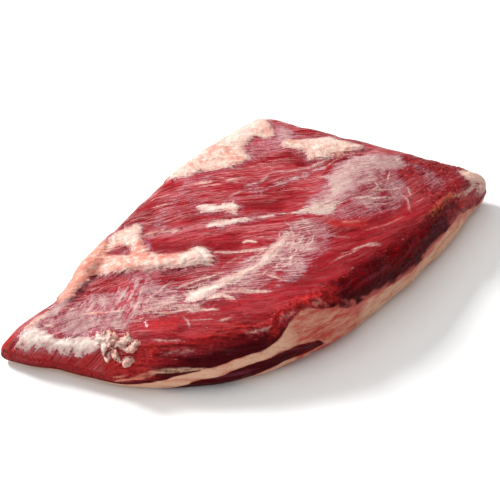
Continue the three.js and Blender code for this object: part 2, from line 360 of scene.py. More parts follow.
# %% Silver skin
# Each film has a strength, and a soft border of so many millimetres.
FILM = {
    "swell": dict(strength=0.72, soft=9, edge=[
        (128, 6), (152, 4), (168, -6), (180, -26), (174, -42), (150, -50), (124, -46), (96, -50),
        (72, -48), (36, -24), (62, -18), (104, -4),
    ]),
    "top of the swell": dict(strength=1.0, soft=10, edge=[
        (122, 3), (150, 3), (168, -4), (182, -16), (194, -34), (192, -50), (176, -56), (150, -40),
        (126, -20),
    ]),
    "torn edge of the swell": dict(strength=1.05, soft=8, edge=[
        (109, 2), (137, -6), (134, -22), (122, -35), (90, -38), (56, -42), (62, -31), (92, -18),
    ]),
    "tongue of the swell": dict(strength=1.25, soft=7, edge=[
        (24, -8), (39, -11), (49, -20), (80, -26), (80, -44), (69, -54), (56, -42), (50, -27), (40, -19),
    ]),
    "below the swell": dict(strength=0.50, soft=10, edge=[
        (172, -42), (164, -70), (136, -90), (96, -88), (62, -60), (72, -46), (124, -44),
    ]),
    "band to the net": dict(strength=0.60, soft=8, edge=[
        (29, -22), (45, -28), (53, -50), (50, -68), (30, -84), (-24, -92), (-50, -82), (-22, -60),
        (6, -44),
    ]),
    "middle": dict(strength=0.55, soft=9, edge=[
        (30, -26), (49, -27), (62, -57), (41, -72), (17, -88), (-26, -74), (-13, -60), (15, -40),
    ]),
    "near the net": dict(strength=0.5, soft=9, edge=[
        (-150, 2), (-117, -4), (-84, -27), (-3, -37), (30, -28), (40, -50), (21, -76), (-55, -77),
        (-114, -44), (-156, -14),
    ]),
    "net band": dict(strength=1.0, soft=6, edge=[
        (-82, -32), (-58, -38), (-36, -44), (-12, -37), (20, -31), (27, -40), (-8, -55), (-40, -60),
        (-80, -50),
    ]),
    "behind the patches": dict(strength=0.75, soft=6, edge=[
        (140, 100), (148, 84), (144, 66), (130, 62), (116, 56), (108, 60), (114, 76), (124, 84),
    ]),
    "streak": dict(strength=0.75, soft=3, edge=[(34, 30), (66, 29), (123, 10), (122, 4), (62, 22)]),
    "thin end": dict(strength=0.68, soft=9, edge=[
        (-211, 58), (-161, 50), (-149, 33), (-126, 32), (-112, 22), (-110, 0), (-100, -14), (-110, -30),
        (-159, -10), (-171, -15), (-192, 7), (-219, 42),
    ]),
    "left rim": dict(strength=1.3, soft=5, edge=[
        (-186, 64), (-172, 65), (-167, 58), (-200, 52), (-232, 60), (-236, 66),
    ]),
    "plain film": dict(strength=0.90, soft=8, edge=[
        (-212, 48), (-194, 41), (-184, 24), (-192, 9), (-213, 28),
    ]),
    "tip": dict(strength=0.9, soft=4, edge=[
        (-240, 72), (-210, 61), (-192, 64), (-206, 44), (-222, 50), (-232, 60),
    ]),
    "left haze": dict(strength=0.40, soft=12, edge=[
        (-72, 66), (-52, 86), (-36, 72), (-54, 50), (-72, 50),
    ]),
    "middle haze": dict(strength=0.42, soft=10, edge=[(42, 54), (64, 42), (44, 22), (26, 28)]),
    "right haze": dict(strength=0.34, soft=12, edge=[
        (190, -36), (204, -68), (200, -98), (180, -108), (162, -92),
    ]),
    "far left": dict(strength=0.28, soft=20, edge=[(-70, 96), (10, 100), (10, 60), (-40, 50)]),
    "inside the fork": dict(strength=0.7, soft=4, edge=[(-90, 60), (-79, 56), (-84, 44), (-95, 40)]),
    "hole": dict(strength=0.35, soft=4, edge=[(-121, 75), (-104, 72), (-102, 56), (-116, 60)]),
    "under the far band": dict(strength=0.5, soft=8, edge=[
        (40, 86), (84, 62), (108, 56), (134, 58), (128, 80), (104, 92), (66, 86),
    ]),
    "by the far band": dict(strength=0.4, soft=6, edge=[(0, 100), (30, 86), (36, 74), (-4, 90)]),
}

# %% Zones of the lean
# Each is a list of streaks: a path, how far it reaches in millimetres, and a strength. Creases are paths
# alone.
DEEP = [  # dark bare lean: darker lean, with painted shade under and beside deposits and along the shoulder
    ([(-84, 38), (-62, 19), (-42, -3), (-32, -14)], 10, 1.0),
    ([(18, 26), (42, 3)], 13, 0.7),
    ([(-104, 8), (-82, -10)], 4, 1.0),
    ([(-158, 66), (-142, 50), (-124, 32)], 9, 0.8),
    ([(133, -1), (150, 0), (180, -3)], 5, 1.0),
    ([(-168, -32), (-139, -64), (-108, -88), (-70, -100)], 11, 0.8),
    ([(-19, -92), (20, -112), (73, -118), (120, -116)], 10, 0.8),
    ([(56, -70), (80, -86), (100, -90)], 12, 0.5),
    ([(-140, 60), (-172, 54)], 3, 0.8),
    ([(-119, 71), (-106, 62)], 8, 0.9),
    ([(150, -122), (190, -120), (222, -112)], 8, 0.8),
]
WARM = [  # orange-red lean, partly painted light along the rims
    ([(58, -56), (66, -68), (78, -80)], 8, 1.0),
    ([(117, -101), (89, -94), (76, -88)], 4, 0.8),
    ([(-151, -28), (-138, -40)], 8, 0.7),
    ([(-48, -112), (-28, -118)], 8, 0.8),
    ([(-112, -74), (-96, -86)], 8, 0.6),
    ([(-166, -38), (-142, -58), (-118, -74), (-96, -90), (-77, -100)], 6, 0.55),
    ([(-250, 78), (-238, 78), (-215, 88), (-190, 98)], 9, 1.0),
    ([(-248, 70), (-240, 52), (-226, 34)], 6, 0.9),
]
GRAINY = [  # coarse, crumbly lean
    ([(190, -50), (210, -80), (226, -100)], 38, 1.0),
    ([(170, -90), (190, -110), (160, -115)], 26, 1.0),
    ([(-180, -30), (-134, -74), (-84, -103), (-39, -116), (-10, -124)], 15, 0.6),
    ([(-68, -108), (-44, -114), (-16, -122)], 16, 1.5),
    ([(-10, -124), (45, -130), (118, -126), (160, -120)], 16, 1.0),
    ([(-150, -8), (-125, -30), (-100, -50)], 22, 0.55),
]
FRESH = [  # smooth wet lean
    ([(-88, 36), (-60, 12), (-34, -12)], 20, 1.0),
    ([(-150, -40), (-110, -66), (-50, -92), (10, -96), (70, -96), (120, -96)], 34, 1.0),
    ([(70, -66), (120, -84)], 18, 0.8),
    ([(10, 20), (44, -2)], 16, 0.7),
    ([(-60, -20), (-20, -24)], 14, 0.7),
]
CREASES = [  # cracks between bundles, painted darker as shade
    [(129, -70), (141, -74), (151, -79)],
    [(107, -63), (124, -72), (140, -83)],
    [(92, -68), (110, -76), (129, -87)],
    [(51, -70), (65, -79), (81, -88)],
    [(42, -84), (60, -94), (84, -104)],
    [(25, -87), (41, -100), (63, -111)],
    [(5, -89), (25, -105), (45, -114)],
    [(22, 19), (45, 6), (68, -7)],
    [(-147, 60), (-139, 47), (-127, 34)],
    [(-160, 60), (-150, 49), (-139, 35)],
    [(-168, 58), (-157, 47), (-150, 37)],
]
CREASE_WIDTH = 2.2
COMBED = [  # silver skin combed straight as it was pulled
    ([(-150, 60), (-135, 30), (-150, 6)], 26, 1.0),
    ([(-172, 40), (-172, 14)], 18, 0.8),
]
CREAMY = [  # silver skin with some fat in it
    ([(28, -10), (50, -25), (70, -36), (82, -42)], 16, 1.0),
    ([(38, -40), (20, -60), (-30, -64)], 14, 0.6),
    ([(-78, -42), (-38, -51), (20, -37)], 10, 0.8),
]
CRUST = [  # the brown, dried rim
    ([(143, -117), (156, -115), (174, -111), (184, -111)], 5.5, 1.0),
]
ZONES = {
    "deep": DEEP, "warm": WARM, "crust": CRUST, "grainy": GRAINY, "fresh": FRESH, "combed": COMBED,
    "creamy": CREAMY,
}

# %% Strings of the net
# Where two muscles were pulled apart, a net of torn strings is left. Each string starts at a drawn place
# beside the net's spine and runs more or less along it, and thins to nothing at both ends.
SPINE = [(-160, 0), (-118, -22), (-86, -42), (-40, -56), (-6, -54), (8, -50)]
STRINGS = {
    "number": 105, "seed": 11, "spread": 17, "turn": (4, 14), "length": (10, 34), "bend": (0, 16),
    "legs": 3, "width": (0.5, 1.7), "cover": (0.3, 0.85), "tint": (-0.25, 0.05),
}
draw = random.Random(STRINGS["seed"])


def string_of_net():
    start = draw.randrange(len(SPINE) - 1)
    (ax, ay), (bx, by) = SPINE[start:start + 2]
    share = draw.random()
    heading = math.atan2(by - ay, bx - ax) + math.radians(draw.gauss(*STRINGS["turn"]))
    aside = draw.gauss(0, STRINGS["spread"] * 0.5)
    x = ax + share * (bx - ax) - aside * math.sin(heading)
    y = ay + share * (by - ay) + aside * math.cos(heading)
    length = draw.uniform(*STRINGS["length"])
    bend = math.radians(draw.gauss(*STRINGS["bend"]))
    path = [(x, y)]
    for leg in range(STRINGS["legs"]):
        turned = heading + bend * (leg - 1)
        x += length / STRINGS["legs"] * math.cos(turned)
        y += length / STRINGS["legs"] * math.sin(turned)
        path.append((x, y))
    width, cover, tint = [draw.uniform(*STRINGS[name]) for name in ("width", "cover", "tint")]
    return path, width, cover, tint


ALL_STRANDS = STRANDS + [string_of_net() for _ in range(STRINGS["number"])]
print(len(FAT), "deposits,", len(ALL_STRANDS), "strands,", len(FILM), "films")


# %% [markdown]
# ## Reading the map
# A deposit asks one thing of a point: how far inside its outline is it? The distance to the nearest edge
# gives that, and counting crossings gives the sign. Noise is added to the distance before it becomes a
# mask, so edges are torn.


# %% Distances in plan
def distance_to_path(path, x, y):
    """Millimetres from each point to the nearest leg of a path."""
    best = np.full(x.shape, np.inf)
    for (ax, ay), (bx, by) in zip(path[:-1], path[1:]):
        run = (bx - ax) ** 2 + (by - ay) ** 2
        t = np.clip(((x - ax) * (bx - ax) + (y - ay) * (by - ay)) / run, 0, 1)
        best = np.minimum(best, np.hypot(x - ax - t * (bx - ax), y - ay - t * (by - ay)))
    return best


def strand_depth(path, width, x, y):
    """Millimetres inside a strand that thins to nothing at both ends."""
    lengths = [math.dist(a, b) for a, b in zip(path[:-1], path[1:])]
    whole = sum(lengths)
    best = np.full(x.shape, -99.0)
    start = 0.0
    for (ax, ay), (bx, by), length in zip(path[:-1], path[1:], lengths):
        t = np.clip(((x - ax) * (bx - ax) + (y - ay) * (by - ay)) / length**2, 0, 1)
        gone = (start + t * length) / whole
        half = width * 0.5 * np.sqrt(np.clip(1 - (2 * gone - 1) ** 2, 0, 1)) * 1.15
        best = np.maximum(best, half - np.hypot(x - ax - t * (bx - ax), y - ay - t * (by - ay)))
        start += length
    return best


def depth_inside(edge, x, y):
    """Millimetres inside a closed outline, negative outside."""
    closed = edge + edge[:1]
    inside = np.zeros(x.shape, bool)
    for (ax, ay), (bx, by) in zip(closed[:-1], closed[1:]):
        if ay == by:
            continue
        crosses = (ay > y) != (by > y)
        inside ^= crosses & (x < (bx - ax) * (y - ay) / (by - ay) + ax)
    return np.where(inside, 1, -1) * distance_to_path(closed, x, y)


def streaked(paths, x, y):
    """The strongest of some streaks, each full in its middle and gone at its reach."""
    most = np.zeros(len(x))
    for path, width, strength in paths:
        most = np.maximum(most, strength * ramp(1 - distance_to_path(path, x, y) / width, 0, 0.8))
    return most


# %% Masks
FAT_LIMIT = 8  # a depth inside fat, or a distance from it, counts no further than this
STRAND_LIMIT = 4


def grooves(x, y):
    """Cracks between bundles of fibres."""
    along, across = grain(x, y)
    wave = 0.5 + 0.5 * rough(along / 55, across / 6.5, 91, 2)
    cracks = ramp(1 - np.abs(2 * wave - 1), 0.86, 0.99) * ramp(rough(x / 30, y / 30, 95, 2), -0.4, 0.4)
    stray = 0.8 * rough(along / 9, across / 3, 97, 2)
    creases = np.full(len(x), -9.0)
    for path in CREASES:
        creases = np.maximum(creases, strand_depth(path, CREASE_WIDTH, x, y))
    return np.maximum(cracks, ramp(creases + stray, -0.8, 0.6))


def read_strands(x, y, fat, tint):
    """Depth, cover and tint of the strands. Each strand only looks at the points near it."""
    strand = np.full(len(x), -float(STRAND_LIMIT))
    cover = np.zeros(len(x))
    for path, width, share, hue in ALL_STRANDS:
        (left, right), (front, back) = [(min(c) - STRAND_LIMIT, max(c) + STRAND_LIMIT) for c in zip(*path)]
        close = np.flatnonzero((x > left) & (x < right) & (y > front) & (y < back))
        depth = strand_depth(path, width, x[close], y[close])
        nearer = depth > strand[close]
        close, depth = close[nearer], depth[nearer]
        strand[close] = depth
        cover[close] = share
        own = close[(depth > -1) & (fat[close] < 0)]
        tint[own] = hue
    return strand, cover


def read_map(place, normal):
    """Every mask of the upper face, for each point. Depths are in millimetres."""
    x, y = place[:, 0], place[:, 1]
    along, across = grain(x, y)
    wander = 1.7 * rough(along / 12, across / 2.6, 3) + 0.6 * rough(x / 5, y / 5, 5, 2)
    up = ramp(normal[:, 2], 0.22, 0.55)
    fat = np.full(len(x), -float(FAT_LIMIT))
    tint = np.zeros(len(x))
    rise = np.zeros(len(x))
    for patch in FAT.values():
        depth = depth_inside(patch["edge"], x, y)
        share = ramp(depth, -2.0, 6.0)
        tint = tint * (1 - share) + patch["tint"] * share
        fat = np.maximum(fat, depth)
        rise = np.maximum(rise, patch["rise"] * np.sqrt(np.clip((depth + wander + 0.5) / 6, 0, 1)))
    hole = depth_inside(HOLE, x, y)
    fat = np.minimum(fat, -1.8 * (hole + 1))
    rise -= 1.5 * ramp(hole, -1.5, 2.5)
    strand, cover = read_strands(x, y, fat, tint)
    film = np.zeros(len(x))
    for skin_patch in FILM.values():
        depth = depth_inside(skin_patch["edge"], x, y) + 1.5 * wander
        share = ramp(depth, -0.3 * skin_patch["soft"], skin_patch["soft"])
        film = np.maximum(film, skin_patch["strength"] * share)
    masks = {name: streaked(paths, x, y) for name, paths in ZONES.items()}
    masks["fat"] = np.clip(fat, -FAT_LIMIT, FAT_LIMIT) + 1.3 * wander
    masks["strand"] = np.clip(strand, -STRAND_LIMIT, 3) + 0.2 * wander
    masks.update(up=up, cover=cover, tint=tint, rise=rise, film=film, groove=grooves(x, y))
    return masks


# %% [markdown]
# ## Seams
# The seams between lean and fat run through the slab as sheets whose heights are known at stations along
# it. The stations run at a slant, because the layers do, and the sheets thin towards the far edge. A
# little noise, the wobble, keeps each seam from being a ruled line.

# %% Seams
SLANT = 0.55
NEAR_EDGE = {"y": -120, "turns_at": -90, "slope": 0.8}
THINNING = {"share": 0.5, "reach": 110}
FAT_TOP = dict(wobble=1.3, stations=[
    (-190, -9), (-150, -7), (-143, 4), (-136, 16), (-128, 25), (-115, 33), (-99, 39), (-84, 44),
    (-75, 48), (-66, 54), (-58, 62), (-50, 69), (-42, 73), (-35, 69), (-29, 64), (-16, 57), (-5, 48),
    (6, 42), (28, 41), (45, 38), (60, 34), (85, 31), (105, 32), (133, 35), (160, 38), (183, 38),
    (201, 31), (237, 15), (320, 8),
])
POINT_TOP = dict(wobble=0.9, stations=[
    (-190, -9), (-130, -5), (-125, 5), (-121, 14), (-113, 20), (-105, 24), (-95, 27), (-85, 31),
    (-72, 33), (-60, 32), (-47, 31), (-38, 27), (-33, 20), (-26, -9), (320, -9),
])
POINT_BOTTOM = dict(wobble=0.8, stations=[
    (-190, -14), (-104, -8), (-94, 4), (-86, 12), (-78, 16), (-66, 17), (-54, 16), (-42, 15), (-33, 18),
    (-26, 12), (320, 12),
])
BLOCK = {"from": -190, "to": 320, "columns": 340, "half_width": 165, "rows": 28, "depth": 60}


def station_of(x, y):
    """Where a point lies along the slab, measured on the near edge."""
    return x + SLANT * (y - NEAR_EDGE["y"])


def share_left(x, y):
    """How much of a seam's height is left, going from the near edge to the far one."""
    edge = NEAR_EDGE["y"] + NEAR_EDGE["slope"] * np.clip(NEAR_EDGE["turns_at"] - x, 0, None)
    inward = np.clip((y - edge) / THINNING["reach"], 0, 1)
    return 1 + (THINNING["share"] - 1) * inward * (2 - inward)


def seam_height(seam, x, y):
    along, heights = zip(*seam["stations"])
    station = station_of(x, y)
    height = np.interp(station, along, heights) * share_left(x, y)
    return height + seam["wobble"] * rough(station / 11, y / 40, 61, 2)


# %% [markdown]
# ## Relief
# Displace moves each vertex along its normal by the weight of a vertex group, which is how a sculptor's
# mask works. Fat stands proud of the lean, silver skin wrinkles, bundles of fibres make low ridges along
# the grain, and the sides bulge unevenly. The relief is real form, not bump in the material, because it
# shows in the outline too.


# %% Displacing by weights
STEPS = 250  # a weight is rounded to one of so many steps, and a step's vertices are added at once


def weigh(piece, name, weights):
    """Makes a vertex group with these weights."""
    group = piece.vertex_groups.new(name=name)
    steps = np.round(weights * STEPS).astype(int)
    order = np.argsort(steps, kind="stable")
    starts = np.searchsorted(steps[order], np.arange(STEPS + 2))
    for step in range(1, STEPS + 1):
        chosen = order[starts[step]:starts[step + 1]]
        if len(chosen):
            group.add(chosen.tolist(), step / STEPS, "REPLACE")


def push(piece, heights):
    """Moves each vertex out along its normal by its height, in millimetres."""
    for name, sign in (("raised", 1), ("sunk", -1)):
        part = np.clip(sign * heights, 0, None)
        most = part.max()
        if most > 0:
            weigh(piece, name, part / most)
            modify(piece, "DISPLACE", strength=sign * most * MM, mid_level=0.0, vertex_group=name)
            piece.vertex_groups.remove(piece.vertex_groups[name])


# %% The height of each point
# In millimetres, for each part of the relief. What is dark or cracked lies deeper.
HEIGHTS = {
    "strand": 0.35, "deep": 0.8, "groove": 1.2, "bundles": 0.55, "folds": 0.8, "fresh": 0.8, "film": 0.5,
    "wrinkles": 0.6, "combed": 0.8, "grainy": 0.9, "strips of fat": 0.4, "lumps of fat": 0.7, "crust": 2.6,
    "bulges": 1.0, "small bulges": 0.6,
}


def relief(place, normal):
    """How far each point of the skin stands out, in millimetres."""
    x, y, z = place.T
    along, across = grain(x, y)
    masks = read_map(place, normal)
    up = masks["up"]
    down = ramp(-normal[:, 2], 0.3, 0.8)
    side = 1 - np.maximum(up, down)
    fat = ramp(masks["fat"], -0.5, 1.5)
    bare = 1 - fat
    film = masks["film"] * bare
    thread = masks["cover"] * ramp(masks["strand"], -0.8, 0.8) * bare
    bundles = rough(along / 34, across / 3.8, 11)
    folds = rough(along / 90, across / 16, 13, 2)
    waves = rough(along / 40, across / 8, 45, 2)
    wrinkles = rough(x / 5, y / 5, 23)
    combs = rough(comb_along(x, y) / 26, comb_across(x, y) / 4.2, 17)
    grains = rough(x / 4.2, y / 4.2, 27, 2)
    strips = rough(along / 14, across / 6, 31)
    lumps = rough(x / 6.5, y / 6.5, 33, 3)
    top = masks["rise"] + HEIGHTS["strand"] * thread - HEIGHTS["deep"] * masks["deep"] * bare
    top = top - HEIGHTS["groove"] * masks["groove"] * bare
    top = top + bare * (HEIGHTS["bundles"] - 0.2 * masks["film"]) * bundles + HEIGHTS["folds"] * folds
    top = top + HEIGHTS["fresh"] * masks["fresh"] * bare * waves
    top = top + film * (HEIGHTS["film"] + HEIGHTS["wrinkles"] * wrinkles)
    top = top + HEIGHTS["combed"] * film * masks["combed"] * combs
    top = top + HEIGHTS["grainy"] * masks["grainy"] * bare * grains
    top = top + fat * (HEIGHTS["strips of fat"] * strips + HEIGHTS["lumps of fat"] * lumps)
    top = top + HEIGHTS["crust"] * masks["crust"]
    station = station_of(x, y)
    bulges = HEIGHTS["bulges"] * rough(station / 30, z / 11, 41)
    bulges = bulges + HEIGHTS["small bulges"] * rough(station / 9, z / 4.5, 43)
    return (up * top + side * bulges) * (1 - down)


# %% Sculpting the skin
place, normal = corners(skin)
heights = relief(place, normal)
push(skin, heights)
print("relief from", round(heights.min(), 2), "to", round(heights.max(), 2), "mm")

# %% [markdown]
# ## Crumbs of fat
# At the near end of the tip strip the fat has broken into lumps. Each is a ball stretched to its own
# length, width and height, turned, and set on the skin. The large ones are placed one by one, and the
# small ones are drawn at random along the heap. They are remeshed together so that neighbours grow into
# one another, pushed by noise so that none is a neat egg, and joined to the skin.

# %% Crumbs
PLACED_CRUMBS = [  # x, y, length, width, height, turn in degrees, tint
    (-179, -27, 11, 7, 7, -38, 0.3), (-193, -7, 14, 6, 6, 35, 0.1), (-190, -17, 14, 6, 6, 50, 0.1),
    (-183, -8, 10, 5, 5, -60, 0.2), (-182, -18, 12, 6, 6, -20, 0.1), (-173, -27, 9, 5, 5, -20, 0.1),
    (-185, -29, 14, 9, 8, 15, 0.2), (-176, -18, 11, 5, 5, -45, 0.2), (-196, -12, 12, 5, 5, 60, 0.2),
]
HEAP = {
    "number": 56, "seed": 9, "from": (-194, -2), "to": (-179, -28), "spread": 10, "length": (3.5, 8),
    "slimness": (0.35, 0.6), "height": (2.4, 4.6), "turn": (-90, 90), "tints": (0.0, 0.1, 0.3, 0.6),
}
ON_TOP = 38  # a crumb whose ground is lower than this would hang on the side, and is left out
SETTING = 0.4  # a crumb's middle lies this far above the skin
CRUMB_VOXEL = 0.9 * MM
OVERHEAD = 0.2  # metres, a height above everything
draw = random.Random(HEAP["seed"])


def crumb_of_heap():
    share = draw.random()
    ends = zip(HEAP["from"], HEAP["to"])
    x, y = [a + share * (b - a) + draw.uniform(-1, 1) * HEAP["spread"] for a, b in ends]
    length = draw.uniform(*HEAP["length"])
    width = length * draw.uniform(*HEAP["slimness"])
    height = draw.uniform(*HEAP["height"])
    turn = draw.uniform(*HEAP["turn"])
    return x, y, length, width, height, turn, draw.choice(HEAP["tints"])


CRUMBS = PLACED_CRUMBS + [crumb_of_heap() for _ in range(HEAP["number"])]


def crumb_reach(crumb, place, ground):
    """How far out a point is from a crumb's middle, where 1 is its surface."""
    x, y, length, width, height, turn, _ = crumb
    turn = math.radians(turn)
    dx, dy, dz = place[:, 0] - x, place[:, 1] - y, place[:, 2] - ground
    ahead = dx * math.cos(turn) + dy * math.sin(turn)
    beside = dy * math.cos(turn) - dx * math.sin(turn)
    return np.sqrt((ahead / length) ** 2 + (beside / width) ** 2 + (dz / height) ** 2) * 2


def ground_at(x, y):
    """The height of the skin at that place, found by a ray from above."""
    hit, spot, _, _ = skin.ray_cast(Vector((x * MM, y * MM, OVERHEAD)), Vector((0, 0, -1)))
    return spot.z / MM if hit else 0.0


CRUMBS = [crumb for crumb in CRUMBS if ground_at(crumb[0], crumb[1]) > ON_TOP]
grounds = [ground_at(crumb[0], crumb[1]) + SETTING for crumb in CRUMBS]
balls = []
for crumb, ground in zip(CRUMBS, grounds):
    x, y, length, width, height, turn, _ = crumb
    middle = (x * MM, y * MM, ground * MM)
    only()
    bpy.ops.mesh.primitive_ico_sphere_add(subdivisions=3, radius=0.5, location=middle)
    ball = bpy.context.object
    ball.scale = (length * MM, width * MM, height * MM)
    ball.rotation_euler = (0, 0, math.radians(turn))
    bpy.ops.object.transform_apply()
    balls.append(ball)
only(*balls)
bpy.ops.object.join()
crumbs = bpy.context.object
modify(crumbs, "REMESH", mode="VOXEL", voxel_size=CRUMB_VOXEL)
x, y, z = corners(crumbs)[0].T
push(crumbs, 0.8 * rough(x / 2.6 + z / 4, y / 2.6 - z / 3, 51, 2))
modify(skin, "BOOLEAN", operation="UNION", object=crumbs, solver="MANIFOLD")
bpy.data.objects.remove(crumbs)
print(len(CRUMBS), "crumbs, skin", len(skin.data.vertices), "vertices")

# %% [markdown]
# ## Cutting the layers
# For each seam a grid is laid out along the stations, its heights are set, and it is extruded down to a
# block. Booleans with these blocks part the skin into the flat muscle above, the fat, and the point
# muscle inside the fat. The point muscle lies between two seams. Both are first made into one block, the
# band, which cuts the fat and the point in one go each, so that the two fit and no faces lie on one
# another. Slivers that hang on nothing are thrown away.

# %% Blocks under the seams
def block_under(name, seam):
    only()
    bpy.ops.mesh.primitive_grid_add(x_subdivisions=BLOCK["columns"], y_subdivisions=BLOCK["rows"], size=1)
    block = bpy.context.object
    block.name = name
    flat, _ = corners(block)
    share = flat[:, 0] * MM + 0.5
    y = flat[:, 1] * MM * 2 * BLOCK["half_width"]
    x = BLOCK["from"] + share * (BLOCK["to"] - BLOCK["from"]) - SLANT * (y - NEAR_EDGE["y"])
    z = seam_height(seam, x, y)
    block.data.vertices.foreach_set("co", (np.stack([x, y, z], 1) * MM).ravel())
    bpy.ops.object.mode_set(mode="EDIT")
    bpy.ops.mesh.select_all(action="SELECT")
    bpy.ops.mesh.extrude_region_move(TRANSFORM_OT_translate={"value": (0, 0, -BLOCK["depth"] * MM)})
    bpy.ops.mesh.select_all(action="SELECT")
    bpy.ops.mesh.normals_make_consistent(inside=False)
    bpy.ops.object.mode_set(mode="OBJECT")
    return block


def cut(piece, operation, block):
    modify(piece, "BOOLEAN", operation=operation, object=block, solver="MANIFOLD")


def twin(piece, name):
    only(piece)
    bpy.ops.object.duplicate()
    bpy.context.object.name = name
    return bpy.context.object


def without_shards(piece):
    """The largest loose part alone, because a boolean leaves slivers that hang on nothing."""
    name = piece.name
    only(piece)
    bpy.ops.object.mode_set(mode="EDIT")
    bpy.ops.mesh.select_all(action="SELECT")
    bpy.ops.mesh.separate(type="LOOSE")
    bpy.ops.object.mode_set(mode="OBJECT")
    parts = sorted(bpy.context.selected_objects, key=lambda part: len(part.data.vertices))
    print(name, "had", len(parts) - 1, "shards")
    for shard in parts[:-1]:
        bpy.data.objects.remove(shard)
    parts[-1].name = name
    return parts[-1]


# %% Layers
under_flat = block_under("under flat", FAT_TOP)
under_point = block_under("under point", POINT_TOP)
under_cap = block_under("under cap", POINT_BOTTOM)

flat = twin(skin, "flat_muscle_look")
cut(flat, "DIFFERENCE", under_flat)
fat = twin(skin, "fat_layer_look")
cut(fat, "INTERSECT", under_flat)
point = twin(fat, "point_muscle_look")
band = twin(under_point, "band")
cut(band, "DIFFERENCE", under_cap)
cut(point, "INTERSECT", band)
cut(fat, "DIFFERENCE", band)
for block in (skin, under_flat, under_point, under_cap, band):
    bpy.data.objects.remove(block)
flat, fat, point = without_shards(flat), without_shards(fat), without_shards(point)
for piece in (flat, fat, point):
    print(piece.name, len(piece.data.vertices), "vertices", len(piece.data.polygons), "faces")

# %% [markdown]
# ## Painting
# Masks are stored on the vertices as attributes, which a material can read. Crumbs count as fat, and two
# deposits run over the rim. Where a seam shows in the side, lean bleeds over the fat and fat smears over
# the lean, so the joint between two pieces looks grown, not cut. Thin streaks of fat in the near side are
# too thin for a layer of their own, so they are painted too.


# %% Attributes
def paint(piece, name, values):
    """Stores a number, or a row of three, for each vertex."""
    kind = "FLOAT" if values.ndim == 1 else "FLOAT_VECTOR"
    attribute = piece.data.attributes.new(name, kind, "POINT")
    attribute.data.foreach_set("value" if values.ndim == 1 else "vector", values.astype(np.float32).ravel())


HEAP_END = -160  # no crumb lies past this, along X
CRUMB_EDGE = 1.2  # the noise pushes a crumb's surface out to here at most
CRUMB_FOOT = 1.5  # how far a crumb reaches below its middle


def on_crumbs(place):
    """Which points lie on a crumb, and the tint there."""
    found = np.zeros(len(place), bool)
    tint = np.zeros(len(place))
    nearby = place[:, 0] < HEAP_END
    for crumb, ground in zip(CRUMBS, grounds):
        inside = nearby & (crumb_reach(crumb, place, ground) < CRUMB_EDGE)
        inside &= place[:, 2] > ground - CRUMB_FOOT
        found |= inside
        tint = np.where(inside, crumb[-1], tint)
    return found, tint


# %% Streaks seen from above
SHADE = [  # painted shade on the near side, up to the rim
    ([(-8, -130), (30, -136), (110, -136), (150, -130)], 25, 1.1),
]
NEAR_SHADE = [  # painted shade on the foot of the thin end
    ([(-190, -44), (-160, -66), (-126, -92), (-78, -114)], 26, 1.2),
]
SHADED_WEDGE = [([(-46, -118), (-20, -126), (6, -134)], 26, 1.0)]  # painted shade on the lobe of fat, which turns it a darker rose
LIT_RED_EDGES = [  # red edges painted lighter: painted light where the rims catch it
    ([(-256, 66), (-240, 40), (-205, -12), (-186, -40)], 30, 0.75),
    ([(-252, 66), (-246, 78), (-226, 90)], 9, 0.8),
    ([(196, -122), (214, -124), (244, -122)], 16, 0.9),
    ([(-70, -108), (-44, -114), (-14, -124)], 15, 0.8),
]
LIT_CORNER = [([(222, -104), (250, -108)], 26, 1.0)]  # rosy fat at the far corner, painted lighter: painted light where the key misses its slope
WHITE_AND_LIT = [  # the whitest parts of the deposits, and painted light on the tip strip, which slopes away from the key
    ([(-242, 68), (-226, 46), (-206, 14), (-198, 0)], 18, 1.0),
    ([(-84, -2), (-62, -4)], 14, 0.4),
    ([(142, 52), (160, 40)], 14, 0.35),
    ([(84, 106), (108, 104), (124, 102)], 14, 0.35),
    ([(2, 106), (14, 100)], 12, 0.3),
    ([(-18, 50), (14, 36)], 14, 0.5),
    ([(-34, 28), (26, -6)], 7, 0.6),
    ([(-104, -30), (-80, -42)], 10, 0.5),
]

# %% Streaks in the near side
# Each is a path along X and up, with a width. Left of the main seam, a short and a long thin seam of fat
# lie over a dark gap. The flecks are fat torn off the main seam, to the right of its lobe.
THIN_SEAMS = [
    ([(-208, 11), (-199, 19), (-188, 26)], 2.6),
    ([(-196, 13), (-184, 23), (-170, 31), (-152, 33), (-134, 32)], 4.4),
]
DARK_GAP = [([(-192, 9), (-174, 23), (-155, 29), (-138, 30)], 4.4)]
FLECKS = [
    ([(-27, 70), (-22, 66), (-19, 60)], 3.0),
    ([(-16, 66), (-12, 60), (-8, 51)], 4.0),
    ([(-5, 62), (0, 57), (4, 50)], 3.2),
    ([(4, 55), (9, 50), (12, 42)], 4.6),
    ([(18, 50), (24, 46), (32, 41)], 3.2),
]


def wall_streaks(paths, x, z):
    """Streaks in the near side that taper at both ends."""
    stray = 0.5 * rough(x / 4, z / 3, 67, 2)
    depths = [strand_depth(path, width, x, z) + stray for path, width in paths]
    return ramp(np.maximum.reduce(depths), -0.4, 0.7)


# %% Masks of a layer
RIM = (18, 24)  # a deposit over the rim fades out between these heights
NEAR_SIDE = -20  # the near side's own streaks lie in front of this, along Y
SEAM_LIMIT = 20  # a seam further off than this doesn't matter
NO_SEAM = 99  # stands for the distance where there is no point muscle
ON_CRUMB = 5.0  # a crumb counts as this deep inside fat
TURNED_OFF = 14  # how much depth a deposit loses where the face turns down
MASKS = (
    "fat", "strand", "cover", "tint", "film", "deep", "warm", "crust", "groove", "grainy", "fresh",
    "combed", "creamy", "side", "seam", "shade", "white_and_lit", "rim", "lit_red_edge", "corner", "thin_seam", "hard",
    "smear",
)


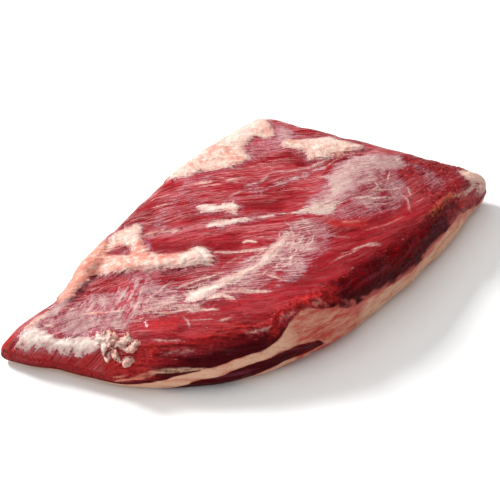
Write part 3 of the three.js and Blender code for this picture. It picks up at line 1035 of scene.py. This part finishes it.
def upper_masks(place, normal, kind):
    """The map as it shows on one layer. Kind is flat, fat or point, and only the flat has an upper face."""
    x, y, z = place.T
    masks = read_map(place, normal)
    crumbed, crumb_tint = on_crumbs(place)
    over = np.maximum(*[ramp(depth_inside(FAT[name]["edge"], x, y), -3, 0) for name in OVER_THE_RIM])
    over = over * ramp(z, *RIM)
    if kind == "flat":
        up = np.maximum(np.where(crumbed, 1.0, masks["up"]), over)
        fat = np.where(crumbed, ON_CRUMB, masks["fat"])
        masks["fat"] = np.clip(fat - TURNED_OFF * (1 - up), -FAT_LIMIT, FAT_LIMIT)
        masks["tint"] = np.where(crumbed, crumb_tint, masks["tint"])
        turned = 1 - ramp(normal[:, 2] + 0.15 * rough(x / 8, y / 8, 65), 0.0, 0.72)
        masks["side"] = np.minimum(turned, 1 - over)
    else:
        up = np.zeros(len(x))
        masks["fat"] = np.full(len(x), float(FAT_LIMIT if kind == "fat" else -FAT_LIMIT))
        masks["tint"] = np.zeros(len(x)) if kind == "fat" else np.where(crumbed, crumb_tint, masks["tint"])
        masks["side"] = np.ones(len(x))
    for name in ("film", "deep", "warm", "cover", "crust", "groove"):
        masks[name] = masks[name] * up
    masks["hard"] = np.full(len(x), float(kind == "fat"))
    return masks


def side_masks(masks, place, kind):
    """Adds what shows by the seams and in the near side."""
    x, y, z = place.T
    station = station_of(x, y)
    above = seam_height(FAT_TOP, x, y) - z
    # Lean has soaked into the fat next to a seam, and fat is smeared over the lean above it.
    from_top, from_bottom = [np.abs(seam_height(seam, x, y) - z) for seam in (POINT_TOP, POINT_BOTTOM)]
    in_point = np.interp(station, *zip(*POINT_TOP["stations"])) > 0
    nearest = np.minimum(np.abs(above), np.where(in_point, np.minimum(from_top, from_bottom), NO_SEAM))
    masks["seam"] = np.clip(nearest, 0, SEAM_LIMIT)
    spread = 1 - np.abs(above) / np.where(above > 0, 10, 6) + 0.7 * rough(station / 14, z / 6, 69, 2)
    smear = ramp(spread, 0.1, 1.0) * ramp(x, -80, -20) * masks["side"] * (kind != "point")
    # The sides lie in shade, which is painted on them. At the thin end only the foot does, below the upper
    # face.
    low = np.maximum(masks["side"], 1 - ramp(-above, 8, 24))
    shade = np.maximum(streaked(SHADE, x, y), streaked(NEAR_SHADE, x, y) * low)
    masks["shade"] = np.clip(np.where(kind == "fat", streaked(SHADED_WEDGE, x, y), shade), 0, 1)
    # Streaks of fat, and a gap between them, on the flat's near side alone.
    near = (y < NEAR_SIDE) & (kind == "flat")
    masks["thin_seam"] = near * wall_streaks(THIN_SEAMS, x, z) * masks["side"]
    masks["smear"] = np.maximum(smear, near * wall_streaks(FLECKS, x, z) * masks["side"])
    masks["deep"] = np.maximum(masks["deep"], near * wall_streaks(DARK_GAP, x, z) * masks["side"])
    # Fat painted whiter, with painted light on the tip strip; edges painted lighter red where light catches
    # them; the far corner's fat painted lighter; the side lighter towards its top. They fade out towards
    # the seam.
    masks["white_and_lit"] = streaked(WHITE_AND_LIT, x, y)
    masks["lit_red_edge"] = streaked(LIT_RED_EDGES, x, y) * ramp(-above, 2, 8)
    masks["corner"] = streaked(LIT_CORNER, x, y) * ramp(z, 20, 30)
    # Painted light: the side is painted lighter towards its top, where the light reaches it.
    masks["rim"] = np.maximum(ramp(-above, 10, 26), ramp(x, 185, 215) * ramp(-above, 4, 14))


# %% Painting the layers
def dress(piece, kind):
    """Stores the masks on a layer, and the places that the patterns of its material follow."""
    place, normal = corners(piece)
    x, y, z = place.T
    masks = upper_masks(place, normal, kind)
    side_masks(masks, place, kind)
    for name in MASKS:
        paint(piece, name, masks[name])
    paint(piece, "grain", np.stack([*grain(x, y), z], 1))
    paint(piece, "comb", np.stack([comb_along(x, y), comb_across(x, y), z], 1))
    paint(piece, "plan", place)
    paint(piece, "edge_grain", np.stack([station_of(x, y), z, y], 1))
    print(piece.name, "painted with", len(MASKS), "masks")


dress(flat, "flat")
dress(fat, "fat")
dress(point, "point")

# %% [markdown]
# ## Materials
# One set of nodes paints all three layers: the masks say where each finish shows. Colours are mixed in
# the order in which the real layers lie, from lean up through silver skin to fat. The patterns are noise,
# stretched along the grain for fibres and even in all directions for grains and lumps. It follows the
# places stored on the vertices, so it runs on across the joints.


# %% Node helpers
def new_material(name):
    material = bpy.data.materials.new(name)
    material.use_nodes = True
    tree = material.node_tree
    tree.nodes.clear()
    return material, tree


def feed(tree, socket, value):
    """Joins another node's output to the socket, or sets the socket's own value."""
    if isinstance(value, bpy.types.NodeSocket):
        tree.links.new(value, socket)
    else:
        socket.default_value = value


def add(tree, kind, **inputs):
    """A node with some of its inputs fed. Spaces in an input's name are written as _."""
    node = tree.nodes.new(kind)
    for name, value in inputs.items():
        feed(tree, node.inputs[name.replace("_", " ")], value)
    return node


def attribute(tree, name):
    node = tree.nodes.new("ShaderNodeAttribute")
    node.attribute_name = name
    return node


def calc(tree, operation, a, b=0.0, c=0.0):
    node = tree.nodes.new("ShaderNodeMath")
    node.operation = operation
    for socket, value in zip(node.inputs, (a, b, c)):
        feed(tree, socket, value)
    return node.outputs[0]


def times(tree, a, b):
    return calc(tree, "MULTIPLY", a, b)


def line_of(tree, value, slope, start):
    """The start, plus the slope times the value."""
    return calc(tree, "MULTIPLY_ADD", value, slope, start)


def ease(tree, value, low, high):
    """0 below low, 1 above high, smooth between."""
    node = tree.nodes.new("ShaderNodeMapRange")
    node.interpolation_type = "SMOOTHSTEP"
    tree.links.new(value, node.inputs["Value"])
    node.inputs["From Min"].default_value = low
    node.inputs["From Max"].default_value = high
    return node.outputs["Result"]


def blend(tree, share, a, b):
    """Colour a where the share is 0, and b where it is 1."""
    node = tree.nodes.new("ShaderNodeMix")
    node.data_type = "RGBA"
    for name, value in (("Factor", share), ("A", a), ("B", b)):
        socket = next(s for s in node.inputs if s.name == name and s.enabled)
        feed(tree, socket, (*value, 1) if isinstance(value, tuple) else value)
    return next(s for s in node.outputs if s.enabled)


def lay(tree, share, most, under, over):
    """Lays one colour over another, as far as the share says and never further than most."""
    return blend(tree, times(tree, share, most), under, over)


def speckle(tree, vector, stretch, detail=3.0, roughness=0.6):
    """Noise from 0 to 1. The stretch gives the bumps per millimetre along each axis of the vector."""
    spot = add(tree, "ShaderNodeMapping", Vector=vector, Scale=stretch).outputs["Vector"]
    node = add(tree, "ShaderNodeTexNoise", Vector=spot, Scale=1.0, Detail=detail, Roughness=roughness)
    return node.outputs["Fac"]


def mixed(tree, *terms):
    """The sum of each value times its share."""
    total = 0.0
    for value, share in terms:
        total = line_of(tree, value, share, total)
    return total


def tone(red, green, blue):
    """A colour as seen on a screen, from 0 to 255, as the light it reflects."""
    return tuple(((c / 255 + 0.055) / 1.055) ** 2.4 if c > 10 else c / 3295 for c in (red, green, blue))


# %% Colours
LEAN_DARK = tone(126, 4, 16)
LEAN = tone(190, 34, 46)
LEAN_LIGHT = tone(210, 84, 92)
LEAN_PALE = tone(234, 158, 158)
# darker lean, also painted shade under deposits and in cracks
DARK_LEAN_AND_SHADE = tone(134, 6, 16)
CRIMSON = tone(190, 26, 40)
# lean painted lighter red where the rims catch the light
LIT_EDGE_RED = tone(224, 52, 50)
# fat of the far corner, painted lighter as light
LIT_ROSE = tone(255, 212, 194)
# orange-red lean, partly painted light along the rims
WARM_AND_LIT_RED = tone(222, 40, 26)
GRAIN_DARK = tone(132, 12, 18)
GRAIN_LIGHT = tone(220, 96, 92)
# lean of the cut side: its own deeper red, painted darker as shade
SIDE_DARK_SHADE = tone(72, 2, 10)
SIDE_LEAN_SHADE = tone(120, 2, 10)
SIDE_BRIGHT = tone(206, 14, 22)
HALO = tone(200, 132, 146)
MAUVE = tone(170, 84, 106)
SILVER = tone(206, 150, 154)
PEARL = tone(234, 205, 194)
CREAM = tone(228, 190, 174)
# white of fat and film, also painted highlights and glints
WHITE_AND_HIGHLIGHT = tone(243, 225, 212)
# whitest fat, also painted light on the tip strip
WHITE_AND_LIT_FAT = tone(255, 238, 228)
PEACH = tone(222, 141, 121)
# painted shade in the hollows of the fat
SHADED_PINK = tone(206, 134, 130)
# fat of the cut side, tan: partly its own colour and partly painted shade
WALL_CREAM_IN_SHADE = tone(232, 182, 153)
WALL_PINK = tone(206, 90, 78)
# painted shade on the lobe of fat, a darker rose
WALL_ROSE_SHADE = tone(200, 76, 66)
VEIN = tone(176, 48, 40)
SMEAR = tone(210, 104, 96)
CRUST_BROWN = tone(190, 104, 66)


# %% [markdown]
# ## Lean
# Dark and light fibres make the body of the lean, with pale threads and dark gaps between them. The threads
# are partly sinew and partly painted highlights on the wet fibre ridges, and the gaps are partly painted
# shade. Each zone of the map then lays its own colour over that. Lean in the cut side is painted darker,
# partly its own deeper red and partly painted shade, in broad layers.


# %% Lean of the upper face
THREADS = ((2.0, 0.8), (3.3, 0.75))  # how many millimetres apart, and how strong


def threads_along(tree, grain_at, spacing):
    """Waves across the grain, one each so many millimetres, that wander as fibres do."""
    across = add(tree, "ShaderNodeSeparateXYZ", Vector=grain_at).outputs["Y"]
    stray = speckle(tree, grain_at, (0.018, 0.11, 0.0))
    phase = mixed(tree, (across, 2 * math.pi / spacing), (stray, 34.0))
    return line_of(tree, calc(tree, "SINE", phase), 0.5, 0.5)


def upper_lean(tree, at, mask, fibres, grains):
    """Each layer of colour covers the one before it, by a pattern or by a zone of the map."""
    bundles = speckle(tree, at["grain"], (0.018, 0.15, 0.0), 3.0, 0.55)
    clouds = speckle(tree, at["plan"], (0.016, 0.016, 0.0), 3.0, 0.55)
    body = mixed(tree, (fibres, 1.1), (bundles, 0.40), (clouds, 0.70), (0.6, -1.0), (mask["fresh"], -0.05))
    colour = blend(tree, ease(tree, body, 0.38, 0.50), LEAN_DARK, LEAN)
    colour = blend(tree, ease(tree, body, 0.50, 0.64), colour, LEAN_LIGHT)
    seen = ease(tree, speckle(tree, at["grain"], (0.016, 0.07, 0.0)), 0.40, 0.60)
    seen = times(tree, seen, line_of(tree, mask["fresh"], -0.7, 1.0))
    # Pale threads, partly sinew and partly painted highlights on the wet fibre ridges; the dark gaps
    # between them are partly painted shade.
    for spacing, strength in THREADS:
        wave = threads_along(tree, at["grain"], spacing)
        thread = times(tree, calc(tree, "POWER", wave, 7.0), times(tree, seen, strength))
        colour = blend(tree, thread, colour, LEAN_PALE)
        gap = calc(tree, "POWER", calc(tree, "SUBTRACT", 1.0, wave), 4.0)
        colour = lay(tree, gap, 0.5, colour, LEAN_DARK)
    coarse = blend(tree, ease(tree, grains, 0.44, 0.56), GRAIN_DARK, LEAN)
    coarse = blend(tree, ease(tree, grains, 0.56, 0.66), coarse, GRAIN_LIGHT)
    colour = lay(tree, mask["grainy"], 0.8, colour, coarse)
    colour = lay(tree, mask["fresh"], 0.45, colour, CRIMSON)
    # Darker lean, with painted shade under deposits, along the shoulder and in the cracks.
    colour = lay(tree, mask["deep"], 0.6, colour, DARK_LEAN_AND_SHADE)
    colour = lay(tree, mask["groove"], 0.75, colour, DARK_LEAN_AND_SHADE)
    # Orange-red lean; along the rims it is painted lighter, as painted light.
    warm_and_lit = times(tree, mask["warm"], ease(tree, mixed(tree, (fibres, 0.6), (grains, 0.4)), 0.38, 0.60))
    return lay(tree, warm_and_lit, 0.85, colour, WARM_AND_LIT_RED)


# %% Lean of the cut side
# Painted shade: the cut side faces away from the key, so its lean is painted darker. The rim mask paints it
# lighter towards the top, where light reaches it, and the shade mask paints it darker still.
def shaded_wall_lean(tree, at, mask):
    layers = speckle(tree, at["edge_grain"], (0.035, 0.22, 0.0), 4.0, 0.65)
    flecks = speckle(tree, at["plan"], (0.30, 0.30, 0.34))
    body = mixed(tree, (layers, 0.6), (flecks, 0.4), (mask["rim"], 0.14), (mask["shade"], -0.08))
    body = line_of(tree, 0.04, -1.0, body)
    colour = blend(tree, ease(tree, body, 0.42, 0.56), SIDE_DARK_SHADE, SIDE_LEAN_SHADE)
    colour = lay(tree, ease(tree, body, 0.56, 0.68), 0.7, colour, SIDE_BRIGHT)
    veil = ease(tree, speckle(tree, at["edge_grain"], (0.022, 0.09, 0.0), 5.0, 0.7), 0.52, 0.66)
    return lay(tree, veil, 0.25, colour, MAUVE)


def all_lean(tree, at, mask, fibres, grains):
    colour = upper_lean(tree, at, mask, fibres, grains)
    # Where the face turns down or the shade mask lies, the lean takes the cut side's shaded colours. Dark
    # streaks there are painted darker still.
    side_and_shade = calc(tree, "MAXIMUM", mask["side"], mask["shade"])
    colour = blend(tree, side_and_shade, colour, shaded_wall_lean(tree, at, mask))
    colour = blend(tree, times(tree, mask["deep"], mask["side"]), colour, SIDE_DARK_SHADE)
    torn = mixed(tree, (fibres, 0.5), (grains, 0.5))
    seams = times(tree, mask["thin_seam"], ease(tree, torn, 0.36, 0.52))
    colour = blend(tree, seams, colour, WALL_CREAM_IN_SHADE)
    colour = lay(tree, mask["smear"], 0.7, colour, SMEAR)
    # Painted light: red edges painted lighter where the rims catch the light.
    lit_edge = times(tree, mask["lit_red_edge"], ease(tree, torn, 0.36, 0.60))
    return lay(tree, lit_edge, 0.85, colour, LIT_EDGE_RED)


# %% [markdown]
# ## Silver skin
# Silver skin is a thin, milky film. Its thickness is worked out first, from its mask and from noise, and
# then gives both its colour, from mauve through silver to pearl, and how far it hides the lean.


# %% Silver skin on the lean
def film_thickness(tree, at, mask, fibres, grains):
    strokes = speckle(tree, at["comb"], (0.045, 0.26, 0.0), 4.0, 0.7)
    wrinkles = speckle(tree, at["plan"], (0.13, 0.13, 0.13), 4.0, 0.65)
    along = mixed(tree, (fibres, 0.75), (wrinkles, 0.25))
    combed = mixed(tree, (strokes, 0.7), (wrinkles, 0.3))
    pattern = add(tree, "ShaderNodeMix", Factor=mask["combed"], A=along, B=combed).outputs["Result"]
    contrast = line_of(tree, mask["combed"], 2.0, 4.2)
    pattern = times(tree, calc(tree, "SUBTRACT", pattern, 0.5), contrast)
    patches = speckle(tree, at["plan"], (0.05, 0.05, 0.05), 2.0, 0.5)
    return mixed(tree, (mask["film"], 1.0), (pattern, 1.0), (grains, 0.8), (patches, 1.1), (1.0, -1.0))


def film_colour(tree, mask, thickness, fibres):
    colour = blend(tree, ease(tree, thickness, 0.15, 0.70), MAUVE, SILVER)
    colour = blend(tree, ease(tree, thickness, 0.60, 1.35), colour, PEARL)
    creamed = times(tree, mask["creamy"], ease(tree, thickness, 0.4, 0.9))
    return blend(tree, creamed, colour, blend(tree, ease(tree, fibres, 0.44, 0.58), CREAM, WHITE_AND_HIGHLIGHT))


def glints_and_halo(tree, at, mask, surface, fibres, grains):
    """Tiny white painted glints along the grain, and a pale halo on the lean round each deposit and strand.
    """
    painted_glints = ease(tree, speckle(tree, at["grain"], (0.11, 0.80, 0.0), 2.0, 0.5), 0.72, 0.77)
    painted_glints = times(tree, painted_glints, line_of(tree, mask["side"], -0.7, 0.7))
    surface = blend(tree, painted_glints, surface, WHITE_AND_HIGHLIGHT)
    by_strands = times(tree, ease(tree, mask["strand"], -2.8, 0.0), mask["cover"])
    halo = calc(tree, "MAXIMUM", ease(tree, mask["fat"], -7.5, 0.0), by_strands)
    halo = times(tree, halo, ease(tree, mixed(tree, (fibres, 0.6), (grains, 0.4)), 0.42, 0.58))
    halo = times(tree, halo, line_of(tree, mask["side"], -0.6, 0.6))
    return blend(tree, halo, surface, HALO)


# %% [markdown]
# ## Fat
# The deposits go from cream to peach by their tint. Painted highlights make their crests whiter, and
# painted shade makes their hollows pink. Fat in the cut side has pink patches and a net of veins, and lean
# has soaked into it by the seams. Its tan cream is partly painted shade, and where it lies in shade it is
# painted a darker rose. The depth inside a deposit is mixed with noise before it becomes a share, so its
# edge is ragged.


# %% Fat of the cut side
def wall_fat(tree, at, mask):
    patches = speckle(tree, at["edge_grain"], (0.04, 0.09, 0.0), 4.0, 0.6)
    net = speckle(tree, at["edge_grain"], (0.08, 0.22, 0.0), 4.0, 0.65)
    # The cut side's cream is tan, partly painted shade.
    colour = lay(tree, ease(tree, patches, 0.48, 0.66), 0.6, WALL_CREAM_IN_SHADE, WALL_PINK)
    colour = lay(tree, ease(tree, net, 0.42, 0.30), 0.5, colour, VEIN)
    # Painted shade: where the fat lies in shade it is painted a darker rose.
    shaded_rose = times(tree, mask["shade"], ease(tree, mixed(tree, (patches, 0.5), (net, 0.5)), 0.32, 0.62))
    colour = blend(tree, shaded_rose, colour, WALL_ROSE_SHADE)
    stains = speckle(tree, at["edge_grain"], (0.06, 0.10, 0.0))
    soak = mixed(tree, (mask["seam"], -1.0), (stains, 9.0), (3.2, -1.0))
    colour = lay(tree, ease(tree, soak, -1.0, 2.0), 0.8, colour, VEIN)
    return lay(tree, mask["smear"], 0.75, colour, SMEAR)


# %% Fat of the upper face
def all_fat(tree, at, mask, grains, lumps, raised):
    soft = speckle(tree, at["plan"], (0.055, 0.055, 0.055), 3.0, 0.55)
    peachy = mixed(tree, (mask["tint"], 1.0), (soft, 2.6), (lumps, -0.9), (0.8, -1.0))
    colour = blend(tree, ease(tree, peachy, 0.0, 1.0), CREAM, PEACH)
    # Painted highlights on the raised crests, and painted shade in the hollows and between the grains.
    lit_crests = times(tree, ease(tree, raised, 0.47, 0.62), line_of(tree, mask["tint"], -0.20, 0.75))
    colour = blend(tree, lit_crests, colour, WHITE_AND_HIGHLIGHT)
    colour = lay(tree, ease(tree, raised, 0.48, 0.36), 0.65, colour, SHADED_PINK)
    colour = lay(tree, ease(tree, grains, 0.42, 0.34), 0.6, colour, SHADED_PINK)
    colour = blend(tree, ease(tree, mixed(tree, (mask["tint"], -1.0)), 0.1, 0.8), colour, MAUVE)
    # Whiter fat, and painted light on the tip strip, which slopes away from the key.
    colour = lay(tree, mask["white_and_lit"], 0.8, colour, WHITE_AND_LIT_FAT)
    # Painted light: the far corner's fat faces away from the key, so it is painted lighter.
    colour = lay(tree, mask["corner"], 0.9, colour, LIT_ROSE)
    return blend(tree, mask["hard"], colour, wall_fat(tree, at, mask))


def pale_cover(tree, mask, fibres, grains, lumps):
    """How far fat or a strand hides what is under it. Whitest and painted-lit fat has a lumpy edge, other
    fat a torn one.
    """
    fibrous = line_of(tree, mask["white_and_lit"], -9.0, 11.0)
    lumpy = times(tree, mask["white_and_lit"], 9.0)
    ragged = mixed(tree, (fibres, fibrous), (lumps, lumpy), (grains, 5.0), (8.0, -1.0))
    depth = calc(tree, "ADD", mask["fat"], ragged)
    thin_edge = line_of(tree, ease(tree, depth, 0.0, 6.0), 0.5, 0.5)
    fat_share = times(tree, ease(tree, depth, -0.4, 0.8), thin_edge)
    in_strand = mixed(tree, (mask["strand"], 1.0), (fibres, 2.5), (grains, 1.5), (2.0, -1.0))
    strand_share = times(tree, ease(tree, in_strand, -0.6, 0.5), mask["cover"])
    return calc(tree, "MAXIMUM", fat_share, strand_share)


# %% [markdown]
# ## The whole finish
# The colours are laid over one another, and the same patterns give the finest relief, as bump. Bare lean
# is wet, which is a thin clear coat over a rough body. Fat, silver skin and the cut side are drier, so
# each takes some of it away.


# %% Meat
DRYING = {"combed": 0.8, "shade": 0.85, "fresh": -0.6}  # fresh lean is wetter still
MOST_COAT = 0.2


def wetness(tree, mask, pale, film_share):
    """1 on bare lean, and less where something drier lies on it."""
    wet = times(tree, line_of(tree, pale, -0.6, 1.0), line_of(tree, mask["side"], -0.85, 1.0))
    wet = times(tree, wet, line_of(tree, film_share, -0.85, 1.0))
    for name, share in DRYING.items():
        wet = times(tree, wet, line_of(tree, mask[name], -share, 1.0))
    return wet


def meat():
    material, tree = new_material("meat")
    at = {name: attribute(tree, name).outputs["Vector"] for name in ("grain", "comb", "plan", "edge_grain")}
    mask = {name: attribute(tree, name).outputs["Fac"] for name in MASKS}
    fibres = speckle(tree, at["grain"], (0.045, 0.60, 0.0), 5.0, 0.70)
    grains = speckle(tree, at["plan"], (0.42, 0.30, 0.42), 3.0, 0.65)
    strips = speckle(tree, at["grain"], (0.030, 0.28, 0.0), 4.0, 0.6)
    lumps = speckle(tree, at["plan"], (0.15, 0.15, 0.15), 4.0, 0.65)
    raised = mixed(tree, (strips, 0.4), (lumps, 0.6))

    surface = all_lean(tree, at, mask, fibres, grains)
    thickness = film_thickness(tree, at, mask, fibres, grains)
    film_share = times(tree, ease(tree, thickness, -0.05, 0.75), ease(tree, mask["film"], 0.02, 0.25))
    surface = lay(tree, film_share, 0.88, surface, film_colour(tree, mask, thickness, fibres))
    glints = times(tree, ease(tree, grains, 0.62, 0.70), film_share)
    surface = lay(tree, glints, 0.5, surface, WHITE_AND_HIGHLIGHT)
    surface = glints_and_halo(tree, at, mask, surface, fibres, grains)
    pale = pale_cover(tree, mask, fibres, grains, lumps)
    surface = blend(tree, pale, surface, all_fat(tree, at, mask, grains, lumps, raised))
    crusted = times(tree, mask["crust"], ease(tree, grains, 0.44, 0.56))
    surface = lay(tree, crusted, 0.75, surface, CRUST_BROWN)

    lean_height = mixed(tree, (fibres, 1.2), (grains, 0.6))
    fat_height = mixed(tree, (raised, 1.1), (grains, 0.8))
    height = add(tree, "ShaderNodeMix", Factor=pale, A=lean_height, B=fat_height).outputs["Result"]
    height = mixed(tree, (height, 1.0), (pale, 0.2), (thickness, 0.2))
    bump = add(tree, "ShaderNodeBump", Height=height, Strength=1.0, Distance=2.0 * MM)
    wet = wetness(tree, mask, pale, film_share)
    shader = add(
        tree, "ShaderNodeBsdfPrincipled", Base_Color=surface, Normal=bump.outputs["Normal"],
        Roughness=line_of(tree, pale, 0.12, 0.36), Specular_IOR_Level=0.03,
        Coat_Weight=times(tree, wet, MOST_COAT), Coat_Roughness=0.12)
    add(tree, "ShaderNodeOutputMaterial", Surface=shader.outputs["BSDF"])
    return material


meat_finish = meat()
print("meat has", len(meat_finish.node_tree.nodes), "nodes")

# %% Dressing the layers
SMOOTH_UNDER = math.radians(50)  # edges flatter than this are shaded smooth
SLOTS = {flat: "flat_lean", fat: "hard_fat", point: "point_lean"}
NODES = {flat: "flat_muscle", fat: "fat_layer", point: "point_muscle"}
for piece, slot in SLOTS.items():
    only(piece)
    piece.data.materials.clear()
    piece.data.materials.append(meat_finish)
    bpy.ops.object.shade_smooth_by_angle(angle=SMOOTH_UNDER)
    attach(piece, "root")
    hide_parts(NODES[piece])

# %% [markdown]
# ## Floor and light
# A pale floor, three soft lights and a dim even sky. The key stands behind the cut and is small enough to
# make the wet lean gleam. A large softbox hangs over it, and a weak fill comes from the thin end. The
# near side faces away from the key, so its layers stand in shade.

# %% Floor
FLOOR_SIZE = 12  # metres, so that its edge is never seen
only()
bpy.ops.mesh.primitive_plane_add(size=FLOOR_SIZE, location=(0, 0, 0))
floor = bpy.context.object
floor.name = "floor"
paper, tree = new_material("pale floor")
shader = add(tree, "ShaderNodeBsdfPrincipled", Base_Color=(0.92, 0.92, 0.91, 1), Roughness=0.9)
add(tree, "ShaderNodeOutputMaterial", Surface=shader.outputs["BSDF"])
floor.data.materials.append(paper)

# %% Light
SKY_STRENGTH = 0.38
LIGHTS = {
    "key": dict(azimuth=194, elevation=42, distance=1.8, size=0.45, power=37.5),
    "softbox": dict(azimuth=190, elevation=80, distance=1.9, size=1.8, power=15.5),
    "side fill": dict(azimuth=262, elevation=34, distance=1.8, size=1.2, power=4.5),
}
for name, setup in LIGHTS.items():
    toward = direction(math.radians(setup["azimuth"]), math.radians(setup["elevation"]))
    bpy.ops.object.light_add(type="AREA", location=TARGET + setup["distance"] * toward)
    lamp = bpy.context.object
    lamp.name = name
    lamp.data.size = setup["size"]
    lamp.data.energy = setup["power"]
    aim(lamp, TARGET)
    print(name, setup["power"], "W")

sky = bpy.data.worlds.new("sky")
sky.use_nodes = True
background = sky.node_tree.nodes["Background"]
background.inputs["Color"].default_value = (1, 1, 1, 1)
background.inputs["Strength"].default_value = SKY_STRENGTH
bpy.context.scene.world = sky
bpy.context.scene.view_settings.view_transform = "Standard"
